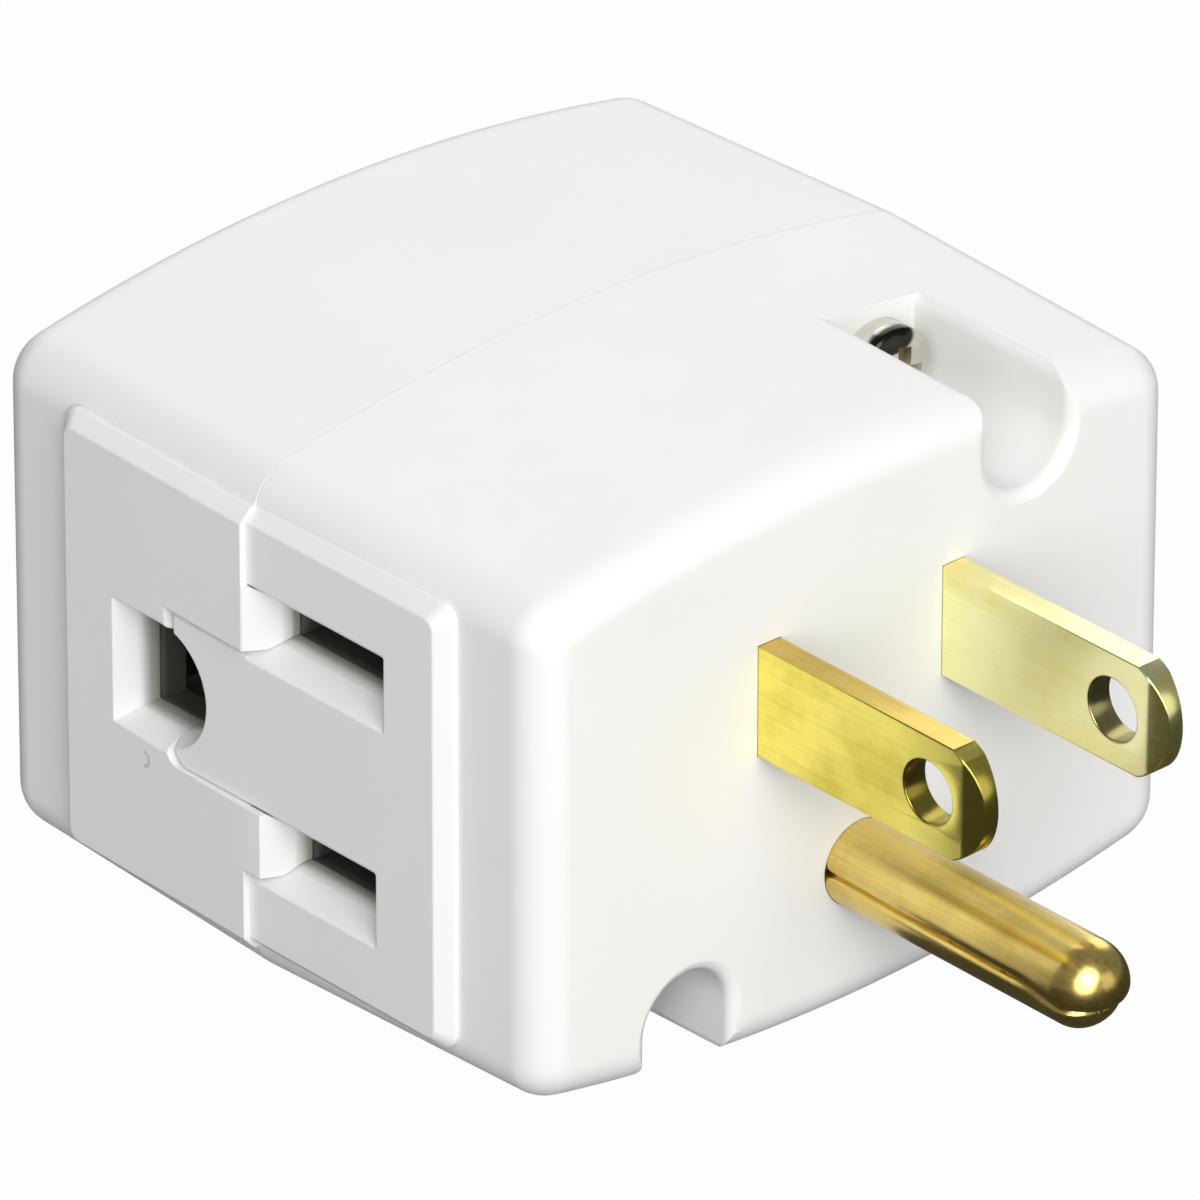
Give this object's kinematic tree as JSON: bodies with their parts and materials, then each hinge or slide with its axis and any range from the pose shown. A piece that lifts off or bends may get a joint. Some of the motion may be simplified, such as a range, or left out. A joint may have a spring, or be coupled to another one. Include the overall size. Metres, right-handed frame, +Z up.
{
  "type": "cube outlet adapter",
  "caption": "Grounded cube adapter: a white moulded plug body with flat blades and a ground pin, and grounded outlets on its back and sides.",
  "frame": {"origin": "on the plug face, midway between the two flat blades at the middle of their height", "axes": "+Y out of the plug face along the blades, +Z up with the ground pin below the blades, +X out of the right outlet"},
  "size_m": [0.047, 0.0615, 0.0336],
  "materials": {
    "white_plastic": "satin moulded",
    "brass": "bright rolled",
    "plated_steel": "nickel plated"
  },
  "bodies": {
    "root": {"rear_housing": "white_plastic", "plug_housing": "white_plastic", "hot_blade": "brass", "neutral_blade": "brass", "ground_pin": "brass", "hot_bus": "brass", "neutral_bus": "brass", "ground_bus": "brass", "hot_jaw_right": "brass", "hot_jaw_rivet_right": "brass", "hot_jaw_rear": "brass", "hot_jaw_rivet_rear": "brass", "hot_jaw_left": "brass", "hot_jaw_rivet_left": "brass", "neutral_jaw_right": "brass", "neutral_jaw_rivet_right": "brass", "neutral_jaw_rear": "brass", "neutral_jaw_rivet_rear": "brass", "neutral_jaw_left": "brass", "neutral_jaw_rivet_left": "brass", "ground_clip_right": "brass", "ground_clip_rivet_right": "brass", "ground_clip_rear": "brass", "ground_clip_rivet_rear": "brass", "ground_clip_left": "brass", "ground_clip_rivet_left": "brass", "hot_blade_rivet": "brass", "neutral_blade_rivet": "brass", "upper_screw": "plated_steel", "lower_screw": "plated_steel"}
  },
  "joints": []
}
